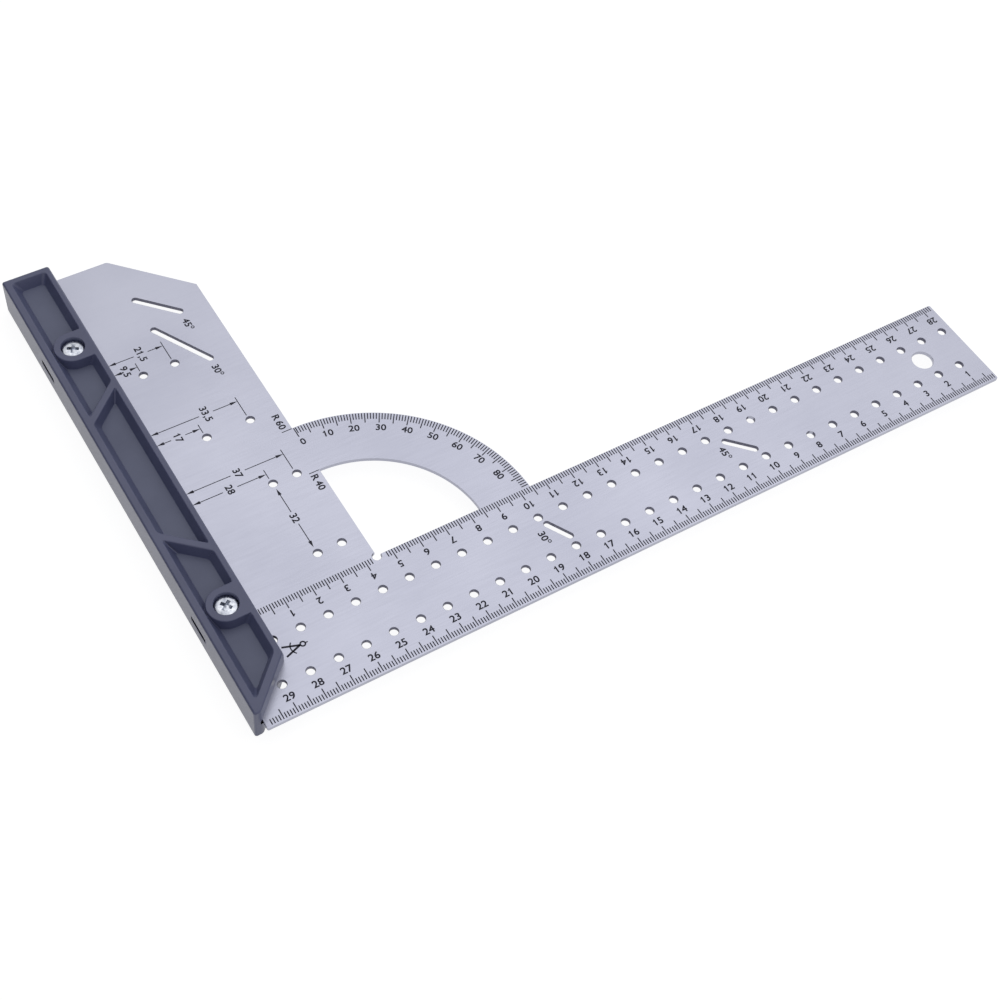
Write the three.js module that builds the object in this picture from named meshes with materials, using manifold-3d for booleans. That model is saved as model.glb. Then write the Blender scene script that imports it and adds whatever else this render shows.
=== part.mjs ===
// Universal angle square: a stamped steel blade with ruler, leg and protractor arc, clamped between
// the two moulded halves of a stop by two screws. Lengths are in millimetres.
// Blade plane: x = 0 at the fence of the stop, +x along the ruler; y = 0 at the ruler's inner edge,
// +y up the leg; z = 0 at the blade's upper face.
import * as THREE from 'three';
import { mergeGeometries, mergeVertices } from 'three/addons/utils/BufferGeometryUtils.js';
import Module from 'manifold-3d';

const wasm = await Module();
wasm.setup();

// Blade
const bladeLength = 300;
const bladeHeight = 200;
const bladeThickness = 1.5;
const rulerWidth = 40;
const heelReach = 15.7;
const legReach = 44.5;
const cornerCut = 24.5;
const reliefRadius = 1.6;
const reliefDrop = 0.3;
const protractorOuterRadius = 60;
const protractorInnerRadius = 40;

// Pencil holes along the two scales of the ruler
const pencilHoleRadius = 1.55;
const scalePitch = 10;
const innerRowDepth = 12.5;
const outerRowDepth = 28.2;
const outerScaleStart = 1;

// Gauge holes in the leg: distances from the fence and heights above the ruler's inner edge
const edgeGauge = 9.5;
const topGauge = 21.5;
const railGauge = 17;
const wideGauge = 33.5;
const systemGauge = 28;
const cornerGauge = 37;
const systemHoleHeight = 10;
const systemHolePitch = 32;
const railRowHeight = 70;
const topRowHeight = 105;

// Angle slots, each placed by its middle
const slotWidth = 2.4;
const steepSlotAngle = THREE.MathUtils.degToRad(60);
const halfSquareAngle = THREE.MathUtils.degToRad(45);
const legSteepSlotHeight = 111.9;
const legHalfSquareSlotHeight = 132.3;
const rulerSlotRise = 7.6;
const rulerSteepSlotX = 103.4;
const rulerHalfSquareSlotX = 179.8;

// Hanging hole in the middle of the ruler, near its far end
const hangingHoleRadius = 4.05;
const hangingHoleInset = 20;

// Stop: plan outline and section
const stopWidth = 18.6;
const stopTopOverrun = 2;
const stopHeelInset = 3.05;
const upperChamferDrop = 20.6;
const lowerChamferDrop = 21.2;
const stopCornerRadius = 0.8;
const stopHalfHeight = 6.7;
const stopEdgeRadius = 0.5;
const fenceLipHeight = 2.5;
const fenceDraft = 1.1;

// Stop: trough with its ribs and screw bosses
const outerRim = 2.7;
const fenceRim = 3;
const endRim = 2.3;
const chamferRim = 2.7;
const troughDepth = 4.1;
const troughDraft = 1.7;
const outerWallDraft = 2.6;
const troughCornerRadius = 1.2;
const bossRadius = 6.6;
const bossDraft = 0.5;
const screwSpacing = 120;
const screwMiddleHeight = 62.8;
const screwInset = 8.4;
const ribWidth = 2.4;
const ribDraft = 1.2;
const ribSpacing = 65;
const ribAngle = THREE.MathUtils.degToRad(42);

// Stop: seat of the blade between the halves and the openings beside the screws
const seatClearance = 0.8;
const seatEndClearance = 0.3;
const sideWindowLength = 11;

// Screws
const screwHeadRadius = 3.85;
const screwHeadHeight = 2.3;
const screwHeadDome = 0.7;
const screwHeadRecess = 1.1;
const screwShankRadius = 1.75;
const screwShankLength = 9.8;
const screwTipLength = 1.2;
const screwTipRadius = 1;
const counterboreClearance = 0.4;
const shankClearance = 0.3;
const bladeScrewHoleClearance = 0.5;
const pilotHoleBottom = 1.2;

// Length by which a cutting solid runs past the face that it cuts
const overrun = 1;

// Curve resolution
const holeSides = 24;
const boreSides = 32;
const arcSteps = 30;
const cornerSteps = 5;
const reliefSteps = 10;
const domeSteps = 4;

// Derived places
const bladeHeelX = -heelReach;
const bladeEndX = bladeLength - heelReach;
const bladeTopY = bladeHeight - rulerWidth;
const innerRowCount = Math.floor((bladeEndX - pencilHoleRadius) / scalePitch) + 1;
const outerRowCount = Math.floor((bladeLength + outerScaleStart - pencilHoleRadius) / scalePitch);
const rulerMiddleY = -rulerWidth / 2;
const stopTopY = bladeTopY + stopTopOverrun;
const stopHeelY = -rulerWidth + stopHeelInset;
const screwPlaces = [-screwSpacing / 2, screwSpacing / 2].map(
  (offset) => new THREE.Vector2(-screwInset, screwMiddleHeight + offset),
);
const headSeatZ = stopHalfHeight - screwHeadRecess - screwHeadHeight;
const pilotHoleDepth = stopHalfHeight - pilotHoleBottom;

function solid(geometry) {
  const bare = new THREE.BufferGeometry();
  bare.setAttribute('position', geometry.getAttribute('position').clone());
  if (geometry.index) bare.setIndex(geometry.index.clone());
  const merged = mergeVertices(bare);
  return new wasm.Manifold(new wasm.Mesh({
    numProp: 3,
    vertProperties: new Float32Array(merged.getAttribute('position').array),
    triVerts: new Uint32Array(merged.index.array),
  }));
}

function geometryOf(manifold) {
  const mesh = manifold.getMesh();
  const geometry = new THREE.BufferGeometry();
  geometry.setAttribute('position', new THREE.BufferAttribute(mesh.vertProperties, 3));
  geometry.setIndex(new THREE.BufferAttribute(mesh.triVerts, 1));
  geometry.computeVertexNormals();
  return geometry;
}

function arcPoints(centreX, centreY, radius, start, end, steps) {
  return Array.from({ length: steps + 1 }, (_, i) => {
    const angle = start + ((end - start) * i) / steps;
    return new THREE.Vector2(centreX + radius * Math.cos(angle), centreY + radius * Math.sin(angle));
  });
}

// Upright prism of a plan outline between two heights
function prism(points, low, high) {
  const geometry = new THREE.ExtrudeGeometry(new THREE.Shape(points), {
    depth: high - low,
    bevelEnabled: false,
  });
  return geometry.translate(0, 0, low);
}

function roundBore(place, radius, sides, low, high) {
  const points = arcPoints(place.x, place.y, radius, 0, 2 * Math.PI, sides).slice(0, sides);
  return prism(points, low, high);
}

function slotOutline(middle, length, angle) {
  const radius = slotWidth / 2;
  const along = new THREE.Vector2(Math.cos(angle), Math.sin(angle)).multiplyScalar(length / 2);
  const first = middle.clone().add(along);
  const last = middle.clone().sub(along);
  const quarter = Math.PI / 2;
  return [
    ...arcPoints(first.x, first.y, radius, angle - quarter, angle + quarter, holeSides / 2),
    ...arcPoints(last.x, last.y, radius, angle + quarter, angle + 3 * quarter, holeSides / 2),
  ];
}

// Plan outline with each corner replaced by a tangent arc
function roundedOutline(corners, radius) {
  return corners.flatMap((corner, i) => {
    const before = corners.at(i - 1).clone().sub(corner).normalize();
    const after = corners[(i + 1) % corners.length].clone().sub(corner).normalize();
    const half = Math.acos(before.dot(after)) / 2;
    const bisector = before.clone().add(after).normalize();
    const centre = corner.clone().addScaledVector(bisector, radius / Math.sin(half));
    const turn = Math.sign(before.cross(after));
    const sweep = Math.PI - 2 * half;
    const start = Math.atan2(-bisector.y, -bisector.x) + (turn * sweep) / 2;
    return arcPoints(centre.x, centre.y, radius, start, start - turn * sweep, cornerSteps);
  });
}

// Closed solid between two outlines with the same number of points
function loft(lowPoints, low, highPoints, high) {
  const count = lowPoints.length;
  const positions = [
    ...lowPoints.flatMap((point) => [point.x, point.y, low]),
    ...highPoints.flatMap((point) => [point.x, point.y, high]),
  ];
  const index = [];
  for (let i = 0; i < count; i += 1) {
    const next = (i + 1) % count;
    index.push(i, next, count + next);
    index.push(i, count + next, count + i);
  }
  for (const [a, b, c] of THREE.ShapeUtils.triangulateShape(lowPoints, [])) {
    index.push(a, c, b);
    index.push(count + a, count + b, count + c);
  }
  const geometry = new THREE.BufferGeometry();
  geometry.setAttribute('position', new THREE.Float32BufferAttribute(positions, 3));
  geometry.setIndex(index);
  return geometry;
}

// Steel blade

function bladeOutline() {
  const arcEnd = Math.PI / 2;
  return [
    new THREE.Vector2(bladeHeelX, -rulerWidth),
    new THREE.Vector2(bladeEndX, -rulerWidth),
    new THREE.Vector2(bladeEndX, 0),
    ...arcPoints(legReach, 0, protractorOuterRadius, 0, arcEnd, arcSteps),
    new THREE.Vector2(legReach, bladeTopY - cornerCut),
    new THREE.Vector2(legReach - cornerCut, bladeTopY),
    new THREE.Vector2(bladeHeelX, bladeTopY),
  ];
}

// Window between leg, ruler and protractor arc, with the round relief at the inner corner
function windowOutline() {
  const reliefEnd = Math.asin(reliefDrop / reliefRadius);
  return [
    ...arcPoints(legReach, 0, protractorInnerRadius, 0, Math.PI / 2, arcSteps),
    ...arcPoints(legReach, -reliefDrop, reliefRadius, Math.PI / 2, 2 * Math.PI + reliefEnd, reliefSteps),
  ];
}

function pencilHolePlaces() {
  const inner = Array.from({ length: innerRowCount }, (_, i) => (
    new THREE.Vector2(i * scalePitch, -innerRowDepth)
  ));
  const outer = Array.from({ length: outerRowCount }, (_, i) => (
    new THREE.Vector2(bladeEndX + outerScaleStart - (i + 1) * scalePitch, -outerRowDepth)
  ));
  const gauges = [
    [edgeGauge, topRowHeight],
    [topGauge, topRowHeight],
    [railGauge, railRowHeight],
    [wideGauge, railRowHeight],
    [systemGauge, systemHoleHeight + systemHolePitch],
    [cornerGauge, systemHoleHeight + systemHolePitch],
    [systemGauge, systemHoleHeight],
    [cornerGauge, systemHoleHeight],
  ].map(([reach, height]) => new THREE.Vector2(reach, height));
  return [...inner, ...outer, ...gauges];
}

function slotOutlines() {
  const legSlotX = (topGauge + wideGauge) / 2;
  const legSlotRun = wideGauge - topGauge;
  const places = [
    [legSlotX, legHalfSquareSlotHeight, legSlotRun / Math.cos(halfSquareAngle), halfSquareAngle],
    [legSlotX, legSteepSlotHeight, legSlotRun / Math.cos(steepSlotAngle), steepSlotAngle],
    [rulerHalfSquareSlotX, rulerMiddleY, rulerSlotRise / Math.sin(halfSquareAngle), halfSquareAngle],
    [rulerSteepSlotX, rulerMiddleY, rulerSlotRise / Math.sin(steepSlotAngle), steepSlotAngle],
  ];
  return places.map(([x, y, length, angle]) => slotOutline(new THREE.Vector2(x, y), length, -angle));
}

function bladeGeometry() {
  const plate = new THREE.Shape(bladeOutline());
  plate.holes.push(new THREE.Path(windowOutline()));
  const sheet = new THREE.ExtrudeGeometry(plate, { depth: bladeThickness, bevelEnabled: false });
  sheet.translate(0, 0, -bladeThickness);
  const low = -bladeThickness - overrun;
  const screwHoleRadius = screwShankRadius + bladeScrewHoleClearance;
  const hangingPlace = new THREE.Vector2(bladeEndX - hangingHoleInset, rulerMiddleY);
  const cuts = mergeGeometries([
    ...pencilHolePlaces().map((place) => roundBore(place, pencilHoleRadius, holeSides, low, overrun)),
    ...slotOutlines().map((outline) => prism(outline, low, overrun)),
    ...screwPlaces.map((place) => roundBore(place, screwHoleRadius, holeSides, low, overrun)),
    roundBore(hangingPlace, hangingHoleRadius, boreSides, low, overrun),
  ]);
  return geometryOf(solid(sheet).subtract(solid(cuts)));
}

// Stop halves. Each is drawn with its parting face at z = 0 and its outer face at the given height.

function stopOutline(chamferDrop) {
  return roundedOutline([
    new THREE.Vector2(-stopWidth, stopHeelY),
    new THREE.Vector2(chamferDrop + stopHeelY, stopHeelY),
    new THREE.Vector2(0, -chamferDrop),
    new THREE.Vector2(0, stopTopY),
    new THREE.Vector2(-stopWidth, stopTopY),
  ], stopCornerRadius);
}

// Trough outline at a share of the trough's depth, drawn in by the draft of its walls
function troughOutline(chamferDrop, depthShare) {
  const draft = troughDraft * depthShare;
  const left = -stopWidth + outerRim + outerWallDraft * depthShare;
  const right = -fenceRim - draft;
  const top = stopTopY - endRim - draft;
  const chamferOffset = chamferDrop - (chamferRim + draft) * Math.SQRT2;
  return roundedOutline([
    new THREE.Vector2(left, left - chamferOffset),
    new THREE.Vector2(right, right - chamferOffset),
    new THREE.Vector2(right, top),
    new THREE.Vector2(left, top),
  ], troughCornerRadius);
}

// Screw boss with the web that ties it to the fence rim
function bossOutline(place, depthShare) {
  const radius = bossRadius + bossDraft * depthShare;
  const quarter = Math.PI / 2;
  return [
    ...arcPoints(place.x, place.y, radius, quarter, 3 * quarter, boreSides / 2),
    new THREE.Vector2(0, place.y - radius),
    new THREE.Vector2(0, place.y + radius),
  ];
}

function ribOutline(side, depthShare) {
  const middle = new THREE.Vector2((-stopWidth + outerRim - fenceRim) / 2, screwMiddleHeight);
  middle.y += (side * ribSpacing) / 2;
  const along = new THREE.Vector2(Math.cos(ribAngle), side * Math.sin(ribAngle));
  const halfWidth = ribWidth / 2 + ribDraft * depthShare;
  const across = new THREE.Vector2(-along.y, along.x).multiplyScalar(halfWidth);
  along.multiplyScalar(stopWidth);
  return [
    middle.clone().sub(along).sub(across),
    middle.clone().add(along).sub(across),
    middle.clone().add(along).add(across),
    middle.clone().sub(along).add(across),
  ];
}

function troughCut(height, chamferDrop) {
  const floor = height - troughDepth;
  const past = 2 * overrun;
  const between = (outlineAt, low, high) => solid(loft(
    outlineAt((height - low) / troughDepth),
    low,
    outlineAt((height - high) / troughDepth),
    high,
  ));
  const trough = between((share) => troughOutline(chamferDrop, share), floor, height + overrun);
  const standing = [
    ...screwPlaces.map((place) => (share) => bossOutline(place, share)),
    (share) => ribOutline(1, share),
    (share) => ribOutline(-1, share),
  ];
  return standing.reduce(
    (cut, outlineAt) => cut.subtract(between(outlineAt, floor - overrun, height + past)),
    trough,
  );
}

// Wedge that draws the fence in from the top of its lip to the outer face
function fenceDraftCut(base, height) {
  const lipTop = base + fenceLipHeight;
  const slope = fenceDraft / (height - lipTop);
  const past = height + overrun;
  const section = [
    new THREE.Vector2(0, lipTop),
    new THREE.Vector2(overrun, lipTop),
    new THREE.Vector2(overrun, past),
    new THREE.Vector2(-slope * (past - lipTop), past),
  ];
  const length = stopTopY + rulerWidth + 2 * overrun;
  const wedge = prism(section, 0, length).rotateX(Math.PI / 2);
  return solid(wedge.translate(0, stopTopY + overrun, 0));
}

function stopBody(base, height, chamferDrop) {
  const block = new THREE.ExtrudeGeometry(new THREE.Shape(stopOutline(chamferDrop)), {
    depth: height - stopEdgeRadius,
    bevelThickness: stopEdgeRadius,
    bevelSize: stopEdgeRadius,
    bevelOffset: -stopEdgeRadius,
    bevelSegments: 2,
  });
  const partingTrim = prism([
    new THREE.Vector2(-stopWidth - overrun, -rulerWidth - overrun),
    new THREE.Vector2(overrun, -rulerWidth - overrun),
    new THREE.Vector2(overrun, stopTopY + overrun),
    new THREE.Vector2(-stopWidth - overrun, stopTopY + overrun),
  ], -overrun, 0);
  return solid(block)
    .subtract(solid(partingTrim))
    .subtract(fenceDraftCut(base, height))
    .subtract(troughCut(height, chamferDrop));
}

function upperHalfGeometry() {
  const boreRadius = screwHeadRadius + counterboreClearance;
  const shankHoleRadius = screwShankRadius + shankClearance;
  return geometryOf(screwPlaces.reduce((body, place) => body
    .subtract(solid(roundBore(place, boreRadius, boreSides, headSeatZ, stopHalfHeight + overrun)))
    .subtract(solid(roundBore(place, shankHoleRadius, holeSides, -overrun, headSeatZ + overrun))),
  stopBody(0, stopHalfHeight, upperChamferDrop)));
}

// Recess that takes the blade, open along the fence, the chamfer and the heel end
function seatCut() {
  const seatHeelX = bladeHeelX - seatClearance;
  return prism([
    new THREE.Vector2(seatHeelX, -rulerWidth - overrun),
    new THREE.Vector2(overrun, -rulerWidth - overrun),
    new THREE.Vector2(overrun, bladeTopY + seatEndClearance),
    new THREE.Vector2(seatHeelX, bladeTopY + seatEndClearance),
  ], -overrun, bladeThickness);
}

function sideWindowCut(place) {
  const low = place.y - sideWindowLength / 2;
  const high = place.y + sideWindowLength / 2;
  return prism([
    new THREE.Vector2(-stopWidth - overrun, low),
    new THREE.Vector2(bladeHeelX, low),
    new THREE.Vector2(bladeHeelX, high),
    new THREE.Vector2(-stopWidth - overrun, high),
  ], -overrun, bladeThickness);
}

// Mirrors a geometry in the parting plane and turns its faces outward again
function mirrored(geometry) {
  geometry.scale(1, 1, -1);
  const index = geometry.index.array;
  for (let i = 0; i < index.length; i += 3) {
    [index[i + 1], index[i + 2]] = [index[i + 2], index[i + 1]];
  }
  geometry.computeVertexNormals();
  return geometry;
}

function lowerHalfGeometry() {
  const pilotRadius = screwShankRadius + shankClearance;
  const pilotEnd = bladeThickness + pilotHoleDepth;
  const body = stopBody(bladeThickness, bladeThickness + stopHalfHeight, lowerChamferDrop);
  const seated = body.subtract(solid(seatCut()));
  return mirrored(geometryOf(screwPlaces.reduce((half, place) => half
    .subtract(solid(roundBore(place, pilotRadius, holeSides, -overrun, pilotEnd)))
    .subtract(solid(sideWindowCut(place))),
  seated)));
}

// Screws, drawn with the seat of the head at z = 0

function screwGeometry() {
  const rim = screwHeadHeight - screwHeadDome;
  const dome = Array.from({ length: domeSteps + 1 }, (_, i) => {
    const angle = (Math.PI / 2) * (i / domeSteps);
    return new THREE.Vector2(screwHeadRadius * Math.cos(angle), rim + screwHeadDome * Math.sin(angle));
  });
  dome[domeSteps].x = 0;
  const profile = [
    new THREE.Vector2(0, -screwShankLength),
    new THREE.Vector2(screwTipRadius, -screwShankLength),
    new THREE.Vector2(screwShankRadius, -screwShankLength + screwTipLength),
    new THREE.Vector2(screwShankRadius, 0),
    new THREE.Vector2(screwHeadRadius, 0),
    ...dome,
  ];
  return new THREE.LatheGeometry(profile, boreSides).rotateX(Math.PI / 2);
}

// Materials
const steel = { color: 0xc6c6d2, roughness: 0.38, metalness: 1 };
const mouldedPlastic = { color: 0x4e5262, roughness: 0.55, metalness: 0 };
const zincPlate = { color: 0xcdd3da, roughness: 0.3, metalness: 1 };

function piece(name, geometry, finish) {
  const mesh = new THREE.Mesh(geometry, new THREE.MeshStandardMaterial(finish));
  mesh.name = name;
  return mesh;
}

// The origin lies under the middle of the whole square, at the level of the stop's lower face
const assembly = new THREE.Group();
assembly.position.set(
  (stopWidth - bladeEndX) / 2,
  (rulerWidth - stopTopY) / 2,
  bladeThickness + stopHalfHeight,
);
assembly.add(piece('steel_blade', bladeGeometry(), steel));
assembly.add(piece('stop_upper_half', upperHalfGeometry(), mouldedPlastic));
assembly.add(piece('stop_lower_half', lowerHalfGeometry(), mouldedPlastic));
['heel', 'top'].forEach((end, i) => {
  const screw = piece(`stop_screw_${end}`, screwGeometry(), zincPlate);
  screw.position.set(screwPlaces[i].x, screwPlaces[i].y, headSeatZ);
  assembly.add(screw);
});

const angleSquare = new THREE.Group();
angleSquare.add(assembly);

export default angleSquare;
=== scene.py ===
# %% [markdown]
# # Universal angle square
# This is a carpenter's marking tool: a flat steel blade in the shape of an L, with a protractor arc
# in its corner, clamped between the two halves of a moulded stop by two screws. A plain solid of
# every piece comes with the lesson and gives the true sizes. We build the visible pieces around
# those solids, one by one, and dress them. First we load the solids and note their outer box.

# %% Load the frame
import math

import bmesh
import bpy
from mathutils import Matrix, Vector


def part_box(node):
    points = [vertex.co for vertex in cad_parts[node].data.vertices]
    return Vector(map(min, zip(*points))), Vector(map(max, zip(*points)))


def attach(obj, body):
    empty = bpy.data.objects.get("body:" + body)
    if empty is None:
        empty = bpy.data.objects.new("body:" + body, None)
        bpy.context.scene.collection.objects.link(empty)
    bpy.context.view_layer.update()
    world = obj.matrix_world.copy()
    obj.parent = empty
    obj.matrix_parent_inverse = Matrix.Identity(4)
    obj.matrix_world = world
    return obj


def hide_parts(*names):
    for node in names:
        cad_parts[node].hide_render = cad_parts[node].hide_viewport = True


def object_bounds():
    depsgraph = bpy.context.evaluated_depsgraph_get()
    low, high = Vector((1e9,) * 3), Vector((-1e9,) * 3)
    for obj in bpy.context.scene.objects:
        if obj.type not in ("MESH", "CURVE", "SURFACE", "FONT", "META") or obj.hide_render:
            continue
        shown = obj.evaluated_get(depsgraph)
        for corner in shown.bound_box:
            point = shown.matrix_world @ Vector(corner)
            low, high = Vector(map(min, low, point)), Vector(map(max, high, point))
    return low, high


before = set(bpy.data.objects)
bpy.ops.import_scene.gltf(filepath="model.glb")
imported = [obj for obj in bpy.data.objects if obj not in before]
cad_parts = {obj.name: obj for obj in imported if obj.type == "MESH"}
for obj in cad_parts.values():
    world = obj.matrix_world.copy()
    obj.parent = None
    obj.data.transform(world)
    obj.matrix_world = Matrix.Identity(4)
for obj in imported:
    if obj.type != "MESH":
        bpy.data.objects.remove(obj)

frame_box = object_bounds()
print("frame box in metres:", [round(edge, 4) for corner in frame_box for edge in corner])

# %% [markdown]
# ## A drawing board on the blade
# Every mark on such a tool is dimensioned from two edges: the fence of the stop, where the inner
# scale has its zero, and the inner edge of the ruler. So the lesson measures in millimetres from
# these two edges and upwards from the blade's face, and one small function turns such a
# dimension into a place in the frame. The edges come from the boxes of the solids, so the
# drawing sits on them by itself.

# %% Drawing board
MM = 0.001
MERGE_GAP = 0.01
RULER_WIDTH = 40
blade_low, blade_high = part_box("steel_blade")
upper_low, upper_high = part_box("stop_upper_half")
board_origin = Vector((upper_high.x, blade_low.y + RULER_WIDTH * MM, blade_high.z))


def local(x=0, y=0, z=0):
    return Vector((x, y, z)) * MM


def at(x, y, z=0):
    return board_origin + local(x, y, z)


def on_board(point):
    return (point - board_origin) / MM


blade_heel, blade_foot = on_board(blade_low).x, on_board(blade_low).y
blade_end, blade_top = on_board(blade_high).x, on_board(blade_high).y
thickness = -on_board(blade_low).z
print(f"blade from {blade_heel:.2f} to {blade_end:.2f} mm, {thickness:.2f} mm thick")

# %% [markdown]
# ## Helpers for working by hand in code
# Operators act on whatever is selected, so each step begins by selecting one object, and inside
# edit mode by choosing the vertices, edges or faces that pass a test of their place. These few
# helpers keep the later cells short.

# %% Selecting and editing
FACING = 0.9
FLAT_ANGLE = math.radians(0.5)
X, Z = 0, 2


def pick(*objects):
    bpy.ops.object.select_all(action="DESELECT")
    for item in objects:
        item.select_set(True)
    bpy.context.view_layer.objects.active = objects[0]


def choose_all():
    bpy.ops.mesh.select_all(action="SELECT")


def edit(thing):
    pick(thing)
    bpy.ops.object.mode_set(mode="EDIT")
    choose_all()


def done():
    bpy.ops.object.mode_set(mode="OBJECT")


def choose(thing, kind, passes):
    bpy.ops.mesh.select_mode(type=kind)
    bpy.ops.mesh.select_all(action="DESELECT")
    form = bmesh.from_edit_mesh(thing.data)
    elements = {"VERT": form.verts, "EDGE": form.edges, "FACE": form.faces}[kind]
    chosen = [element for element in elements if passes(element)]
    for element in chosen:
        element.select_set(True)
    form.select_flush_mode()
    bmesh.update_edit_mesh(thing.data)
    return len(chosen)


def middle(element):
    corners = [vertex.co for vertex in element.verts]
    return on_board(sum(corners, Vector()) / len(corners))


def near(a, b, slack=0.02):
    return abs(a - b) < slack


def upright(edge):
    first, last = edge.verts
    return math.hypot(first.co.x - last.co.x, first.co.y - last.co.y) < MERGE_GAP * MM


def rise(edge):
    return abs(edge.verts[0].co.z - edge.verts[1].co.z)


def level(edge, z):
    return all(near(on_board(v.co).z, z) for v in edge.verts)


def choose_facing(thing, axis, side=1):
    choose(thing, "FACE", lambda face: face.normal[axis] * side > FACING)


def move(x=0, y=0, z=0):
    bpy.ops.transform.translate(value=local(x, y, z))


def extrude(x=0, y=0, z=0):
    step = {"value": local(x, y, z)}
    bpy.ops.mesh.extrude_region_move(TRANSFORM_OT_translate=step)


def resize(x, y, centre):
    bpy.ops.transform.resize(value=(x, y, 1), center_override=centre)


def bevel(size, steps):
    bpy.ops.mesh.bevel(offset=size * MM, segments=steps, affect="EDGES")


def weld(gap=MERGE_GAP):
    choose_all()
    bpy.ops.mesh.remove_doubles(threshold=gap * MM)


def turn_faces_out():
    choose_all()
    bpy.ops.mesh.normals_make_consistent(inside=False)


def settle(thing):
    pick(thing)
    bpy.ops.object.transform_apply(location=True, rotation=True, scale=True)
    return thing


def newest(name):
    made = bpy.context.object
    made.name = name
    return made


def block(name, low, high):
    bpy.ops.mesh.primitive_cube_add(size=1, location=(low + high) / 2)
    made = newest(name)
    made.scale = high - low
    return settle(made)


def card(name, low, high):
    bpy.ops.mesh.primitive_plane_add(size=1, location=(low + high) / 2)
    made = newest(name)
    made.scale = (high.x - low.x, high.y - low.y, 1)
    return settle(made)


def rod(name, radius, low, high, sides=48):
    bpy.ops.mesh.primitive_cylinder_add(
        vertices=sides, radius=radius * MM, depth=high.z - low.z, location=(low + high) / 2
    )
    return settle(newest(name))


def put(thing, place, turn=0):
    thing.matrix_world = Matrix.Translation(place) @ Matrix.Rotation(turn, 4, "Z")
    return thing


def twin(original, place, turn=0):
    copy = original.copy()
    copy.data = original.data.copy()
    bpy.context.scene.collection.objects.link(copy)
    return put(copy, place, turn)


def discard(*things):
    for thing in things:
        bpy.data.objects.remove(thing, do_unlink=True)


def joined(name, parts):
    pick(*parts)
    bpy.ops.object.join()
    return settle(newest(name))


def finish_modifier(thing, modifier):
    pick(thing)
    bpy.ops.object.modifier_apply(modifier=modifier.name)


def combine(body, tool, operation):
    pick(body)
    step = body.modifiers.new("combine", "BOOLEAN")
    step.operation = operation
    step.solver = "EXACT"
    step.object = tool
    finish_modifier(body, step)
    discard(tool)


def count(thing):
    return f"{thing.name}: {len(thing.data.vertices)} vertices, {len(thing.data.polygons)} faces"

# %% [markdown]
# ## The outline of the blade
# The real blade is cut from one sheet, so it should be one flat shape, not three overlapping
# ones. It could be traced as a curve, but the edges would then be hard to find again. Instead a
# plane stands for the corner where leg and ruler meet, and its edges are extruded: upwards to the
# leg, to the right to the ruler. Each extrusion stops where something else starts, so the
# protractor arc finds an edge of just the right length to spin from.

# %% Leg and ruler
LEG_REACH = 44.5
CORNER_CUT = 24.5
ARC_INNER = 40
ARC_OUTER = 60

blade = card("blade_sheet", at(blade_heel, blade_foot), at(LEG_REACH, 0))
edit(blade)
leg_stops = [0, ARC_INNER, ARC_OUTER, blade_top - CORNER_CUT, blade_top]
for start, stop in zip(leg_stops, leg_stops[1:]):
    choose(blade, "EDGE", lambda edge, start=start: all(
        near(on_board(v.co).y, start) for v in edge.verts))
    extrude(y=stop - start)
choose(blade, "VERT", lambda v: near(on_board(v.co).x, LEG_REACH)
       and near(on_board(v.co).y, blade_top))
move(x=-CORNER_CUT)

ruler_stops = [LEG_REACH, LEG_REACH + ARC_INNER, LEG_REACH + ARC_OUTER, blade_end]
for start, stop in zip(ruler_stops, ruler_stops[1:]):
    choose(blade, "EDGE", lambda edge, start=start: near(middle(edge).x, start)
           and near(middle(edge).y, -RULER_WIDTH / 2))
    extrude(x=stop - start)
print("outline drawn")

# %% [markdown]
# ## The protractor arc
# A ring sector is what the spin tool is for. The short edge of the ruler between the two radii is
# spun a quarter turn about the arc's centre, and its far end lands on the leg's edge, where merging
# by distance welds it. Then the flat shape gets its thickness by one extrusion, and the sharp
# outline edges get a fine bevel, because a sheared edge that nobody has broken would cut the hand.

# %% Arc, thickness and broken edges
ARC_STEPS = 60
EDGE_BREAK = 0.12
EDGE_BREAK_STEPS = 2
SHEET_CORNER_ROUND = 0.6
SHEET_CORNER_STEPS = 6
SHARP_ANGLE = math.radians(60)

choose(blade, "EDGE", lambda edge: near(middle(edge).y, 0)
       and near(middle(edge).x, LEG_REACH + (ARC_INNER + ARC_OUTER) / 2))
bpy.ops.mesh.spin(
    steps=ARC_STEPS, angle=math.radians(90), center=at(LEG_REACH, 0), axis=(0, 0, -1)
)
weld()
turn_faces_out()
extrude(z=-thickness)
turn_faces_out()
choose(blade, "EDGE", lambda edge: upright(edge)
       and (near(middle(edge).x, blade_end) or near(middle(edge).y, blade_foot)
            or near(middle(edge).y, blade_top)))
bevel(SHEET_CORNER_ROUND, SHEET_CORNER_STEPS)
bpy.ops.mesh.select_mode(type="EDGE")
bpy.ops.mesh.select_all(action="DESELECT")
bpy.ops.mesh.edges_select_sharp(sharpness=SHARP_ANGLE)
bevel(EDGE_BREAK, EDGE_BREAK_STEPS)
done()
print(count(blade))

# %% [markdown]
# ## One punch for all the holes
# The real holes are punched, and their rims are broken. A bevel after a boolean can go wrong on
# such a large flat face, so the punch itself carries the rim: a cylinder whose two ends flare out
# like a collar. It is modelled once for each size. A slot's punch is the same cylinder with one
# half pulled away from the other. Copies go to every place, are joined, and cut the sheet once.

# %% Punches
COLLAR = 0.1
HOLE_SIDES = 48


def punch(name, radius):
    made = rod(name, radius, local(z=EDGE_BREAK - thickness), local(z=-EDGE_BREAK))
    edit(made)
    flare = (radius + EDGE_BREAK + COLLAR) / radius
    for side in (1, -1):
        choose_facing(made, Z, side)
        extrude(z=side * (EDGE_BREAK + COLLAR))
        resize(flare, flare, local())
    done()
    return made


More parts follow.
